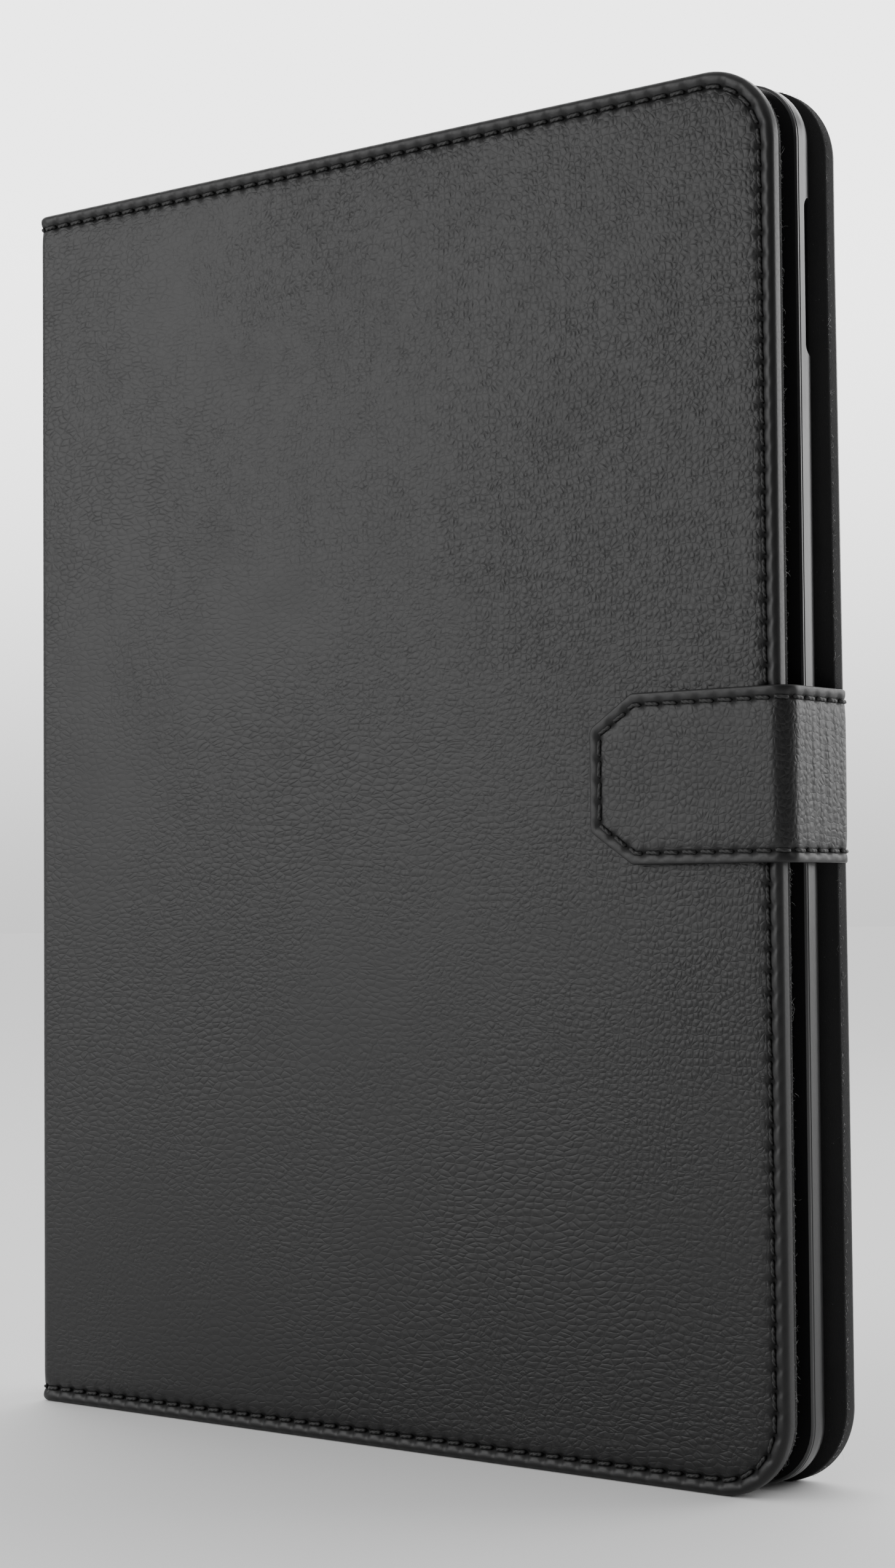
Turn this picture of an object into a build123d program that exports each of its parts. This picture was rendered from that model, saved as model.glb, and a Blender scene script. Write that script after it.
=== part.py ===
"""Folio case for a 9.7 inch tablet, standing closed on its lower edge. Millimetres.

X runs from the spine to the opening edge, +Y from the front cover to the back cover, +Z up.
The origin is the middle of the footprint: the centre of the overall box, strap included, at its base.

The back cover carries a hard tray that the tablet clips into. The spine and the front cover fold round
it on two hinges of bare leather. A magnetic strap, sewn into the back cover, wraps round to the front.
"""
from build123d import *
import os

# Overall sizes
HEIGHT = 248.0
WIDTH = 180.5                 # spine face to the front cover's opening edge
DEPTH = 21.2                  # front cover face to back cover face
OVERHANG = 1.0                # back cover beyond the front cover at the opening edge
CORNER = 14.0                 # corners at the opening edge
SPINE_CORNER = 2.0            # corners at the spine

# Leather and thread
SKIN = 0.9                    # synthetic leather
TURNED_EDGE = 1.0             # leather turned in round a board
FACE_ROUND = 0.85             # outer face to edge
BACK_ROUND = 0.55             # edge to turned-in side
LINING_INSET = 0.4            # raw lining edge behind the leather edge
THREAD_INSET = 2.8            # stitch line from the edge
THREAD_WIDE = 0.7
THREAD_DEEP = 0.4
BOARD_PLAY = 0.1              # board inside its leather pocket

# Layers, from the outside in
FRONT_TRAY = 2.6              # leather with its board
FRONT_LINING = 1.2
BACK_TRAY = 2.5
BACK_LINING = 1.2
SPINE_BOARD = 1.2
SPINE_LINING = 0.9

# Hinges of bare leather between the boards
HINGE_GAP = 0.4
BOARD_FROM_HINGE = 3.0
LINING_FROM_HINGE = 0.6

# Magnets and the strap's catch plate in the front cover
MAGNET_WIDE = 4.0
MAGNET_HIGH = 12.0
MAGNET_THICK = 1.0
MAGNET_CORNER = 0.8
MAGNET_INSET = 8.0
MAGNET_HEIGHTS = (56.0, 92.0, 190.0)
PLATE_WIDE = 20.0
PLATE_HIGH = 22.0
PLATE_THICK = 0.5
PLATE_CORNER = 2.0

# Strap
STRAP_WIDE = 30.4
STRAP_GAP = 0.25              # between the strap and the covers
STRAP_SKIN = 0.9
STRAP_LINING = 0.7
STRAP_THREAD_INSET = 2.1
STRAP_FOLD_GAP = 0.2
TAB_LONG = 38.5               # front cover's edge to the tab's free end
TAB_CUT_X = 9.0               # clipped corner, along the tab
TAB_CUT_Z = 6.0               # clipped corner, along its end
TAB_CORNER = 1.8
TAB_SKIN = 0.45
TAB_CORE = 0.65
TAB_MAGNET_R = 5.0
TAB_MAGNET_APART = 13.0
ROOT_LONG = 27.0              # tail of the strap inside the back cover
ROOT_THICK = 1.0
ROOT_BOX_MARGIN = 3.5         # box of thread inside the tail's outline
ROOT_BOX_CORNER = 1.0

# Hard tray for a 169.5 x 240 x 6.1 tablet
TABLET_WIDE = 169.9
TABLET_HIGH = 240.4
TABLET_CORNER = 9.2
BAY_DEEP = 6.3
BAY_ROUND = 4.8
WALL_X = 1.8
WALL_Z = 2.9
TRAY_BACK = 1.1
TRAY_ROUND = 5.8
TRAY_CORNER = 11.0
TRAY_INSET = 0.6              # tray wall behind the front cover's opening edge
RIM_THICK = 0.8
RIM_ROUND = 0.5
LIP = 2.2                     # rim over the tablet's edge
PARTING = 0.2                 # groove between rim and tray
PAD_WIDE = 130.0
PAD_HIGH = 200.0
PAD_THICK = 0.3
PAD_CORNER = 6.0

# Openings for the tablet's camera, keys and sockets
CAMERA_R = 6.5
CAMERA_FROM_TOP = 14.0
CAMERA_FROM_EDGE = 13.5
SLOT_FROM_RIM = 1.7
SLOT_DEEP = 4.3
SLOT_CORNER = 1.9
VOLUME_SLOT = (198.0, 226.0)  # heights on the opening side
TOP_SLOTS = ((54.0, 72.0), (-76.0, -68.0))                  # power key and audio jack
BOTTOM_SLOTS = ((-7.0, 7.0), (-54.0, -34.0), (34.0, 54.0))  # charging port and speakers

# Places worked out from the sizes
STRAP_THICK = STRAP_SKIN + STRAP_LINING
STRAP_SIDE_OUT = OVERHANG + STRAP_GAP + STRAP_THICK
STRAP_FRONT_OUT = STRAP_GAP + STRAP_THICK
LEFT = -(WIDTH + STRAP_SIDE_OUT) / 2
RIGHT = LEFT + WIDTH
BACK_RIGHT = RIGHT + OVERHANG
FRONT = -(DEPTH - STRAP_FRONT_OUT) / 2
BACK = FRONT + DEPTH
FRONT_INNER = FRONT + FRONT_TRAY + FRONT_LINING
BACK_INNER = BACK - BACK_TRAY - BACK_LINING
FRONT_HALF = (FRONT_TRAY + FRONT_LINING) / 2
BACK_HALF = (BACK_TRAY + BACK_LINING) / 2
FRONT_HINGE = (LEFT + FRONT_HALF, FRONT + FRONT_HALF)
BACK_HINGE = (LEFT + BACK_HALF, BACK - BACK_HALF)
MID_Z = HEIGHT / 2
STRAP_X = BACK_RIGHT + STRAP_GAP + STRAP_THICK / 2
STRAP_HINGE = (STRAP_X, BACK - SKIN - ROOT_THICK / 2)
TAB_HINGE = (STRAP_X, FRONT - STRAP_GAP - STRAP_THICK / 2)
STRAP_LOW = MID_Z - STRAP_WIDE / 2
STRAP_HIGH = MID_Z + STRAP_WIDE / 2
CATCH_X = RIGHT - TAB_LONG / 2 - 2
TRAY_WIDE = TABLET_WIDE + 2 * WALL_X
TRAY_HIGH = TABLET_HIGH + 2 * WALL_Z
TRAY_X = RIGHT - TRAY_INSET - TRAY_WIDE / 2
TRAY_Y1 = BACK_INNER - PAD_THICK
TRAY_Y0 = TRAY_Y1 - BAY_DEEP - TRAY_BACK
PAST = 2.0                    # how far a cutting tool runs past what it cuts


def facing(y):
    """Drawing plane at depth y: its x is X, its y is Z, and it faces the front."""
    return Plane(origin=(0, y, 0), x_dir=(1, 0, 0), z_dir=(0, -1, 0))


def slab(outline, y0, y1):
    """Outline in X and Z, filled from depth y0 to depth y1."""
    return extrude(facing(y1) * outline, amount=y1 - y0)


def block(x0, x1, y0, y1, z0, z1):
    """Box between two corners."""
    return Pos((x0 + x1) / 2, (y0 + y1) / 2, (z0 + z1) / 2) * Box(x1 - x0, y1 - y0, z1 - z0)


def rounded(wide, high, corner, x, z=MID_Z):
    """Rounded rectangle centred at X, Z."""
    return Pos(x, z) * RectangleRounded(wide, high, corner)


def post(axis, radius, z0=0.0, z1=HEIGHT):
    """Upright cylinder on a hinge axis."""
    return Pos(axis[0], axis[1], (z0 + z1) / 2) * Cylinder(radius, z1 - z0)


def cover_outline(left, right, inset):
    """Cover from X left to X right, inset on the other three sides, with its corners rounded."""
    x1 = right - inset
    face = Rectangle(x1 - left, HEIGHT - 2 * inset)
    face = fillet(face.vertices().group_by(Axis.X)[-1], CORNER - inset)
    face = fillet(face.vertices().group_by(Axis.X)[0], max(SPINE_CORNER - inset, 0.3))
    return Pos((left + x1) / 2, MID_Z) * face


def free_edges(shape, y, right):
    """Edges of a cover at depth y, along its top, its bottom and its opening side."""
    reach = CORNER / 2

    def near_side(edge):
        point = edge.center()
        return min(point.Z, HEIGHT - point.Z, right - point.X) < reach

    return shape.edges().filter_by_position(Axis.Y, y - 0.01, y + 0.01).filter_by(near_side)


def leather_tray(right, face_y, turned_y, hinge, half):
    """Leather of one cover: rounded at its free edges, with a half round end on its hinge axis."""
    low, high = sorted((face_y, turned_y))
    leather = slab(cover_outline(LEFT, right, 0), low, high)
    leather = fillet(free_edges(leather, face_y, right), FACE_ROUND)
    leather = fillet(free_edges(leather, turned_y, right), BACK_ROUND)
    past_hinge = block(hinge[0], right + PAST, low - PAST, high + PAST, 0, HEIGHT)
    return leather & (past_hinge + post(hinge, half))


def cover_board(right, hinge, play, low, high):
    """Stiffening board of one cover, or with no play the pocket that holds it."""
    left = hinge[0] + BOARD_FROM_HINGE + play
    return slab(cover_outline(left, right, TURNED_EDGE + play), low, high)


def cover_thread(right, hinge, low, high):
    """Thread round the top, the opening side and the bottom of one cover."""
    outer = cover_outline(hinge[0], right, THREAD_INSET - THREAD_WIDE / 2)
    inner = cover_outline(hinge[0] - PAST, right, THREAD_INSET + THREAD_WIDE / 2)
    return slab(outer - inner, low, high)


def cover_lining(right, hinge, low, high):
    """Microfibre lining of one cover."""
    return slab(cover_outline(hinge[0] + LINING_FROM_HINGE, right, LINING_INSET), low, high)


def camera_hole(radius, y0, y1):
    """Round hole for the tablet's rear camera."""
    place = Pos(RIGHT - CAMERA_FROM_EDGE, HEIGHT - CAMERA_FROM_TOP)
    return slab(place * Circle(radius), y0, y1)


def front_cover():
    """Front cover: leather, board with the magnets and the catch plate in it, lining, thread."""
    inner = FRONT + FRONT_TRAY
    board_y = FRONT + SKIN
    leather = leather_tray(RIGHT, FRONT, inner, FRONT_HINGE, FRONT_HALF)
    leather -= cover_board(RIGHT, FRONT_HINGE, 0, board_y, inner)
    thread = cover_thread(RIGHT, FRONT_HINGE, FRONT, FRONT + THREAD_DEEP)
    plate_outline = rounded(PLATE_WIDE, PLATE_HIGH, PLATE_CORNER, CATCH_X)
    plate = slab(plate_outline, board_y, board_y + PLATE_THICK)
    magnets = [
        slab(rounded(MAGNET_WIDE, MAGNET_HIGH, MAGNET_CORNER, RIGHT - MAGNET_INSET, z),
             board_y, board_y + MAGNET_THICK)
        for z in MAGNET_HEIGHTS
    ]
    board = cover_board(RIGHT, FRONT_HINGE, BOARD_PLAY, board_y, inner) - plate
    for magnet in magnets:
        board -= magnet
    return {
        "front_leather": leather - thread,
        "front_board": board,
        "front_lining": cover_lining(RIGHT, FRONT_HINGE, inner, FRONT_INNER),
        "front_stitching": thread,
        "strap_catch_plate": plate,
        "sleep_magnets": Compound(children=magnets),
    }


def strap_tail(play):
    """Tail of the strap in the back cover, or with play the space that holds it."""
    x0 = BACK_RIGHT - ROOT_LONG
    high = STRAP_WIDE + 2 * play
    outline = Pos((x0 + BACK_RIGHT) / 2, MID_Z) * Rectangle(ROOT_LONG + 2 * play, high)
    return slab(outline, BACK - SKIN - ROOT_THICK - play, BACK - SKIN)


def strap_box_thread():
    """Box of thread that holds the strap's tail, sewn through the back cover's leather."""
    x = BACK_RIGHT - ROOT_LONG / 2
    wide = ROOT_LONG - 2 * ROOT_BOX_MARGIN
    high = STRAP_WIDE - 2 * ROOT_BOX_MARGIN
    ring = rounded(wide, high, ROOT_BOX_CORNER, x)
    inner_corner = ROOT_BOX_CORNER - THREAD_WIDE
    ring -= rounded(wide - 2 * THREAD_WIDE, high - 2 * THREAD_WIDE, inner_corner, x)
    return slab(ring, BACK - THREAD_DEEP, BACK)


def back_cover():
    """Back cover: leather, board, lining, thread, and the strap's tail sewn in."""
    inner = BACK - BACK_TRAY
    board_y = BACK - SKIN
    rim_r = CAMERA_R + TURNED_EDGE
    pocket = cover_board(BACK_RIGHT, BACK_HINGE, 0, inner, board_y)
    pocket -= camera_hole(rim_r, inner, board_y)
    thread = cover_thread(BACK_RIGHT, BACK_HINGE, BACK - THREAD_DEEP, BACK)
    box_thread = strap_box_thread()
    leather = leather_tray(BACK_RIGHT, BACK, inner, BACK_HINGE, BACK_HALF)
    leather -= pocket + strap_tail(BOARD_PLAY)
    leather -= camera_hole(CAMERA_R, inner, BACK)
    leather = leather - thread - box_thread

    board = cover_board(BACK_RIGHT, BACK_HINGE, BOARD_PLAY, inner, board_y)
    board -= camera_hole(rim_r + BOARD_PLAY, inner, board_y)
    board -= strap_tail(BOARD_PLAY)
    lining = cover_lining(BACK_RIGHT, BACK_HINGE, BACK_INNER, inner)
    lining -= camera_hole(CAMERA_R + LINING_INSET, BACK_INNER, inner)
    return {
        "back_leather": leather,
        "back_board": board,
        "back_lining": lining,
        "back_stitching": thread,
        "strap_tail": strap_tail(0),
        "strap_tail_stitching": box_thread,
    }


def thread_run(x0, x1, y0, y1, z):
    """Straight run of thread at height z."""
    return block(x0, x1, y0, y1, z - THREAD_WIDE / 2, z + THREAD_WIDE / 2)


def spine():
    """Spine between the two hinges: leather, board, lining and the thread that crosses it."""
    y0 = FRONT_INNER + HINGE_GAP
    y1 = BACK_INNER - HINGE_GAP
    x1 = LEFT + SKIN
    x2 = x1 + SPINE_BOARD
    edge = TURNED_EDGE
    play = edge + BOARD_PLAY
    leather = block(LEFT, x2, y0, y1, 0, HEIGHT)
    leather -= block(x1, x2, y0 + edge, y1 - edge, edge, HEIGHT - edge)
    threads = [
        thread_run(LEFT, LEFT + THREAD_DEEP, y0, y1, z)
        for z in (THREAD_INSET, HEIGHT - THREAD_INSET)
    ]
    for thread in threads:
        leather -= thread
    z1 = HEIGHT - LINING_INSET
    return {
        "spine_leather": leather,
        "spine_board": block(x1, x2, y0 + play, y1 - play, play, HEIGHT - play),
        "spine_lining": block(x2, x2 + SPINE_LINING, y0, y1, LINING_INSET, z1),
        "spine_stitching": Compound(children=threads),
    }


def wall_slot(x0, x1, z0, z1, axis):
    """Slot with rounded ends, cut through a wall of the tray along the given axis."""
    y0 = TRAY_Y0 + SLOT_FROM_RIM
    slot = block(x0, x1, y0, y0 + SLOT_DEEP, z0, z1)
    return fillet(slot.edges().filter_by(axis), SLOT_CORNER)


def tray_openings():
    """Cutters for the keys, sockets and speakers on the tablet's sides. X is from the tray's middle."""
    deep = BAY_ROUND + WALL_Z
    side = RIGHT - TRAY_INSET
    top = MID_Z + TRAY_HIGH / 2
    bottom = MID_Z - TRAY_HIGH / 2
    cutters = [wall_slot(side - deep, side + PAST, *VOLUME_SLOT, Axis.X)]
    for x0, x1 in TOP_SLOTS:
        cutters.append(wall_slot(TRAY_X + x0, TRAY_X + x1, top - deep, top + PAST, Axis.Z))
    for x0, x1 in BOTTOM_SLOTS:
        cutters.append(wall_slot(TRAY_X + x0, TRAY_X + x1, bottom - PAST, bottom + deep, Axis.Z))
    return cutters


def tablet_tray():
    """Hard tray, the rim that holds the tablet in, and the glue pad that holds the tray."""
    outline = rounded(TRAY_WIDE, TRAY_HIGH, TRAY_CORNER, TRAY_X)
    tray = slab(outline, TRAY_Y0, TRAY_Y1)
    tray = fillet(tray.faces().sort_by(Axis.Y)[-1].edges(), TRAY_ROUND)
    tray = chamfer(tray.faces().sort_by(Axis.Y)[0].edges(), PARTING)
    bay_outline = rounded(TABLET_WIDE, TABLET_HIGH, TABLET_CORNER, TRAY_X)
    bay = slab(bay_outline, TRAY_Y0, TRAY_Y0 + BAY_DEEP)
    tray -= fillet(bay.faces().sort_by(Axis.Y)[-1].edges(), BAY_ROUND)
    for cutter in tray_openings():
        tray -= cutter
    tray -= camera_hole(CAMERA_R, TRAY_Y0 + BAY_DEEP / 2, TRAY_Y1 + PAST)

    rim_y = TRAY_Y0 - RIM_THICK
    rim = slab(outline, rim_y, TRAY_Y0)
    rim = fillet(rim.faces().sort_by(Axis.Y)[0].edges(), RIM_ROUND)
    rim = chamfer(rim.faces().sort_by(Axis.Y)[-1].edges(), PARTING)
    window = rounded(TABLET_WIDE - 2 * LIP, TABLET_HIGH - 2 * LIP, TABLET_CORNER - LIP, TRAY_X)
    rim -= slab(window, rim_y, TRAY_Y0)

    pad = slab(rounded(PAD_WIDE, PAD_HIGH, PAD_CORNER, TRAY_X), TRAY_Y1, BACK_INNER)
    return {"tablet_tray": tray, "tray_rim": rim, "tray_glue_pad": pad}


def strap_side():
    """Strap between its two folds: leather outside, lining inside, two lines of thread."""
    x0 = BACK_RIGHT + STRAP_GAP
    x1 = x0 + STRAP_LINING
    x2 = x0 + STRAP_THICK
    y0 = TAB_HINGE[1] + STRAP_THICK / 2 + STRAP_FOLD_GAP
    y1 = STRAP_HINGE[1]
    whole = block(x0, x2, y0, y1, STRAP_LOW, STRAP_HIGH)
    whole += post(STRAP_HINGE, STRAP_THICK / 2, STRAP_LOW, STRAP_HIGH)
    outside = block(x1, x2 + PAST, y0 - PAST, y1 + PAST, 0, HEIGHT)
    leather = whole & outside
    threads = [
        thread_run(x2 - THREAD_DEEP, x2, y0, y1, z)
        for z in (STRAP_LOW + STRAP_THREAD_INSET, STRAP_HIGH - STRAP_THREAD_INSET)
    ]
    for thread in threads:
        leather -= thread
    return {
        "strap_side_leather": leather,
        "strap_side_lining": whole - outside,
        "strap_side_stitching": Compound(children=threads),
    }


def tab_outline(inset):
    """Tab: square at the fold, with clipped corners at its free end."""
    x0 = RIGHT - TAB_LONG + inset
    x1 = TAB_HINGE[0]
    z0 = STRAP_LOW + inset
    z1 = STRAP_HIGH - inset
    clip = inset / 3
    x_cut = x0 + TAB_CUT_X - clip
    cut = TAB_CUT_Z - clip
    face = make_face(Polyline(
        (x1, z0), (x1, z1), (x_cut, z1), (x0, z1 - cut), (x0, z0 + cut), (x_cut, z0), close=True,
    ))
    free = face.vertices().filter_by(lambda v: v.X < x1 - PAST)
    return fillet(free, TAB_CORNER - inset / 3)


def strap_tab():
    """Magnetic tab: leather, stiff core with two magnets, lining and thread."""
    y0 = TAB_HINGE[1] - STRAP_THICK / 2
    y_core = y0 + TAB_SKIN
    y_lining = y_core + TAB_CORE
    y1 = y0 + STRAP_THICK
    whole = slab(tab_outline(0), y0, y1)
    whole += post(TAB_HINGE, STRAP_THICK / 2, STRAP_LOW, STRAP_HIGH)
    outside = block(RIGHT - TAB_LONG - PAST, STRAP_X + PAST, y0 - PAST, y_lining, 0, HEIGHT)
    flat = Pos(CATCH_X - PAST, MID_Z) * Rectangle(TAB_LONG, STRAP_WIDE)
    core_space = slab(tab_outline(TURNED_EDGE) & flat, y_core, y_lining)
    core = core_space
    magnets = [
        slab(Pos(CATCH_X, MID_Z + z) * Circle(TAB_MAGNET_R), y_core, y_lining)
        for z in (-TAB_MAGNET_APART / 2, TAB_MAGNET_APART / 2)
    ]
    for magnet in magnets:
        core -= magnet
    ring = tab_outline(STRAP_THREAD_INSET - THREAD_WIDE / 2)
    ring -= tab_outline(STRAP_THREAD_INSET + THREAD_WIDE / 2)
    ring &= Pos(CATCH_X, MID_Z) * Rectangle(TAB_LONG + 2 * PAST, STRAP_WIDE)
    thread = slab(ring, y0, y0 + THREAD_DEEP)
    return {
        "strap_tab_leather": (whole & outside) - core_space - thread,
        "strap_tab_core": core,
        "strap_tab_lining": whole - outside,
        "strap_tab_magnets": Compound(children=magnets),
        "strap_tab_stitching": thread,
    }


os.makedirs("parts", exist_ok=True)
nodes = {**front_cover(), **back_cover(), **spine(), **tablet_tray(), **strap_side(), **strap_tab()}
for name, shape in nodes.items():
    export_step(shape, f"parts/{name}.step")
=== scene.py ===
"""Looks of a folio tablet case with a magnetic strap, built round its CAD frame. Metres.

Every sheet of leather or lining is worked out flat, as a pattern cutter would draw it: length along the
case, depth below the visible face, height. It is then laid along a line of straight runs and bends.
"""
import math

import bmesh
import bpy
import numpy as np
from bpy.props import FloatProperty, FloatVectorProperty, IntProperty, PointerProperty
from mathutils import Matrix, Vector


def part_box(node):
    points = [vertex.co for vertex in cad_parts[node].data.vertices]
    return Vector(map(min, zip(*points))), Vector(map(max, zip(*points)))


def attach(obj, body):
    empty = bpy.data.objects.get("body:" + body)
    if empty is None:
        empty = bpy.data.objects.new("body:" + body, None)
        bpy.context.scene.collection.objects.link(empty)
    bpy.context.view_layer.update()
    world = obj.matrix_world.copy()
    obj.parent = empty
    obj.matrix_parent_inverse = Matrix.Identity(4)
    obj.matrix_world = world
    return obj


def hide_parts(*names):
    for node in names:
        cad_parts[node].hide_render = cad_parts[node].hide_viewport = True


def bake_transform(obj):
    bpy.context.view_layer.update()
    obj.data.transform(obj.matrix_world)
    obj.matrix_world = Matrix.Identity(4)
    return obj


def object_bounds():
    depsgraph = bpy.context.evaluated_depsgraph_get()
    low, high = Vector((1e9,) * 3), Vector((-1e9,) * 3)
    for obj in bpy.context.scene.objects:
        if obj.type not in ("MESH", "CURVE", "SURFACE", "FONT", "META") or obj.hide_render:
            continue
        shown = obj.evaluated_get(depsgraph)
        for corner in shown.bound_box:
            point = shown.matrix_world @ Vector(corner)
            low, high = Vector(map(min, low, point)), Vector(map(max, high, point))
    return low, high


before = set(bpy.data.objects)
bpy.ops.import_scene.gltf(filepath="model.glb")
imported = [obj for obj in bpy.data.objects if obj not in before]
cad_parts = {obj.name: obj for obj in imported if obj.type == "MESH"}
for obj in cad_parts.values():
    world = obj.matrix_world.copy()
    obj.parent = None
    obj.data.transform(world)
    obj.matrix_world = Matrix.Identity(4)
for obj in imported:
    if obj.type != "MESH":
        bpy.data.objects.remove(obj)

bl_info = {
    "name": "Folio Case",
    "version": (1, 0, 0),
    "blender": (4, 5, 0),
    "location": "View3D > Sidebar > Folio Case",
    "description": "Leather, lining, thread, tray and stage of a folio tablet case",
    "category": "Object",
}

MM = 0.001
CAD_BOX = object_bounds()

# Places read from the frame
FRONT_LOW, FRONT_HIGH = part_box("front_leather")
BACK_LOW, BACK_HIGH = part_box("back_leather")
BACK_LINING_LOW, BACK_LINING_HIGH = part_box("back_lining")
SPINE_LOW, SPINE_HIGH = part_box("spine_leather")
TAB_LOW, TAB_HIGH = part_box("strap_tab_leather")
BOX_LOW, BOX_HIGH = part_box("strap_tail_stitching")
FRONT_LINING_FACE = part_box("front_lining")[1].y
SPINE_LINING_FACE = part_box("spine_lining")[1].x
TAB_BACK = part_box("strap_tab_lining")[1].y
HEIGHT = FRONT_HIGH.z
LEFT = SPINE_LOW.x
RIGHT = FRONT_HIGH.x
BACK_RIGHT = BACK_HIGH.x
STRAP_SIDE = CAD_BOX[1][0]
FRONT = FRONT_LOW.y
BACK = BACK_HIGH.y
SPINE_MID = (SPINE_LOW.y + SPINE_HIGH.y) / 2
SPINE_THICK = SPINE_HIGH.x - SPINE_LOW.x

# Covers
CORNER = 14 * MM                # rounded corners at the opening side
FOLD_THICK = 1.4 * MM           # leather where a cover folds
BACK_ROLL = 0.55 * MM           # turn from the leather's side to its hidden face
BACK_TRIM = 0.75 * MM           # how far the back cover is drawn in at its upper opening corner
THREAD_SINK = 0.17 * MM         # middle of the covers' thread, below the leather's face
COVER_INSETS = np.concatenate([
    np.linspace(1.1, 2.0, 5), np.linspace(2.2, 3.4, 9), np.linspace(3.75, 7.0, 6)]) * MM
COVER_WAVE = 70 * MM, 0.16 * MM  # width and depth of the padding's unevenness
WINDOW = Vector((RIGHT - 13.5 * MM, HEIGHT - 14 * MM))
WINDOW_R = 6.5 * MM             # camera window in the back cover's leather
WINDOW_LIP = 0.5 * MM

# Linings
LINING_FOLD = 1.2 * MM          # radius of the crease beside the spine
LINING_INSET = 0.4 * MM         # raw edge behind the leather's edge
LINING_PANEL = 1.2 * MM         # thickness over a cover
LINING_SPINE = 0.9 * MM         # thickness over the spine
LINING_LAP = 0.12 * MM          # how far the back lining passes the back cover's edge
LINING_LIP = 1.5 * MM           # and how far it is carried over its side
LIP_START = 16 * MM             # where the lip begins, along the lining from the middle of the spine
LIP_RISE = 10 * MM              # and the length over which it grows
LINING_SMOOTH = 2 * MM          # line that stands for the seam on a lining, which isn't sewn
LINING_WAVE = 50 * MM, 0.05 * MM
LINING_ROLLS = 0.3 * MM, 0.2 * MM
LINING_INSETS = np.array([0.5, 0.9, 1.8, 3.5, 6.5]) * MM
LINING_WINDOW_R = WINDOW_R + 0.5 * MM
LINING_WINDOW_LIP = 0.2 * MM

# Strap
STRAP_START = BACK_RIGHT - 6 * MM
STRAP_FACE = BACK - 0.6 * MM    # outer face of the strap where it leaves the back cover
STRAP_SKIN = 0.9 * MM
STRAP_SETBACK = 0.25 * MM       # lining's edge behind the leather's edge
STRAP_INSETS = np.concatenate([np.linspace(0.55, 1.4, 4), np.linspace(1.6, 2.6, 7), [3.0, 3.6]]) * MM
STRAP_ROLLS = 0.32 * MM, 0.12 * MM
STRAP_CHANNEL = 0.55            # the strap's sewing beside the covers': depth of its channel
STRAP_SWELL = 0.3               # and height of its margin
STRAP_WAVE = 24 * MM, 0.08 * MM
STRAP_CRUMPLE = 9 * MM, 0.16 * MM
STRAP_THREAD_SINK = 0.06 * MM
STRAP_LINING_INSETS = np.array([0.5, 1.5, 3.0]) * MM
STRAP_LINING_ROLLS = 0.1 * MM, 0.15 * MM
BOX_THREAD_SINK = -0.10 * MM

# Meshes
TINY = 0.02 * MM                # smallest radius of an outline's corner
WELD = 0.06 * MM                # joins rows that close on a plate's middle line
SAME = 1e-7                     # joins points that are meant to be one
FINE = 1e-9                     # the same for the fibres, and the least length to divide by

# Stage
FRONT_LIGHT = (1.1, 0.9), (-0.90, -1.25, 0.52)
SIDE_LIGHT = (0.9, 0.6), (0.75, 0.95, 0.45)
DARK_SIDE = (0.76, -0.65, 0.05)
BRIGHT_SIDE = (-0.615, 0.788, 0.10)
ROOM_LEVEL = 0.52               # room's light at the sides
ROOM_DIMMED = 0.92              # share of it that the dark side lacks
ROOM_HORIZON = 0.51             # added on the bright side, at the horizon
ROOM_RISE = 2.5                 # and above the horizon
ROOM_OVERHEAD = 0.5             # added overhead
ROOM_FULL = 4.0                 # level that white stands for
CAMERA_TARGET = Vector((16.730 * MM, FRONT, 124.562 * MM))
CAMERA_TURN = 37.964
CAMERA_RISE = -2.435
CAMERA_ROLL = -0.46
CAMERA_DISTANCE = 535.76 * MM


# ---------------------------------------------------------------- settings

def metres(name, description, default):
    """Length that can be set."""
    return FloatProperty(
        name=name, description=description, default=default, subtype="DISTANCE", unit="LENGTH")


def tint(name, description, default):
    """Colour that can be set."""
    return FloatVectorProperty(
        name=name, description=description, subtype="COLOR", default=default, min=0, max=1)


class CaseLeather(bpy.types.PropertyGroup):
    """Sizes and colours of the outer leather."""
    color: tint("Colour", "Colour of the dyed skin", (0.008, 0.008, 0.0082))
    roughness: FloatProperty(
        name="Roughness", description="How matt the finish is", default=0.38, min=0, max=1)
    pebble: metres("Pebble", "Width of one pebble of the grain", 1.3 * MM)
    grain: metres("Grain", "Depth of the grain", 0.12 * MM)
    edge_roll: metres("Edge roll", "Radius of the rolled outer edge", 0.9 * MM)
    fold: metres("Fold", "Radius of the leather round the spine's corners", 1.9 * MM)
    swell: metres("Swell", "How far the margin outside the thread stands up", 0.26 * MM)


class CaseThread(bpy.types.PropertyGroup):
    """Sizes and colours of the sewing."""
    color: tint("Colour", "Colour of the thread", (0.011, 0.011, 0.011))
    pitch: metres("Pitch", "From one needle hole to the next", 3.75 * MM)
    thickness: metres("Thickness", "Thickness of the thread", 0.72 * MM)
    cover_inset: metres("Cover inset", "Stitch line from a cover's edge", 2.8 * MM)
    strap_inset: metres("Strap inset", "Stitch line from the strap's edge", 2.1 * MM)
    channel: metres("Channel", "Depth of the channel that the thread pulls into the leather", 0.42 * MM)


class CaseLining(bpy.types.PropertyGroup):
    """Sizes and colours of the microfibre lining."""
    color: tint("Colour", "Colour of the nap", (0.020, 0.020, 0.0203))
    fluff_color: tint("Fluff", "Colour of the loose fibres at the cut edge", (0.45, 0.45, 0.45))
    fluff_count: IntProperty(
        name="Fluff count", description="Loose fibres along each cover's edge", default=2600, min=0)
    fluff_length: metres("Fluff length", "Length of a loose fibre", 0.55 * MM)


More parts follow.
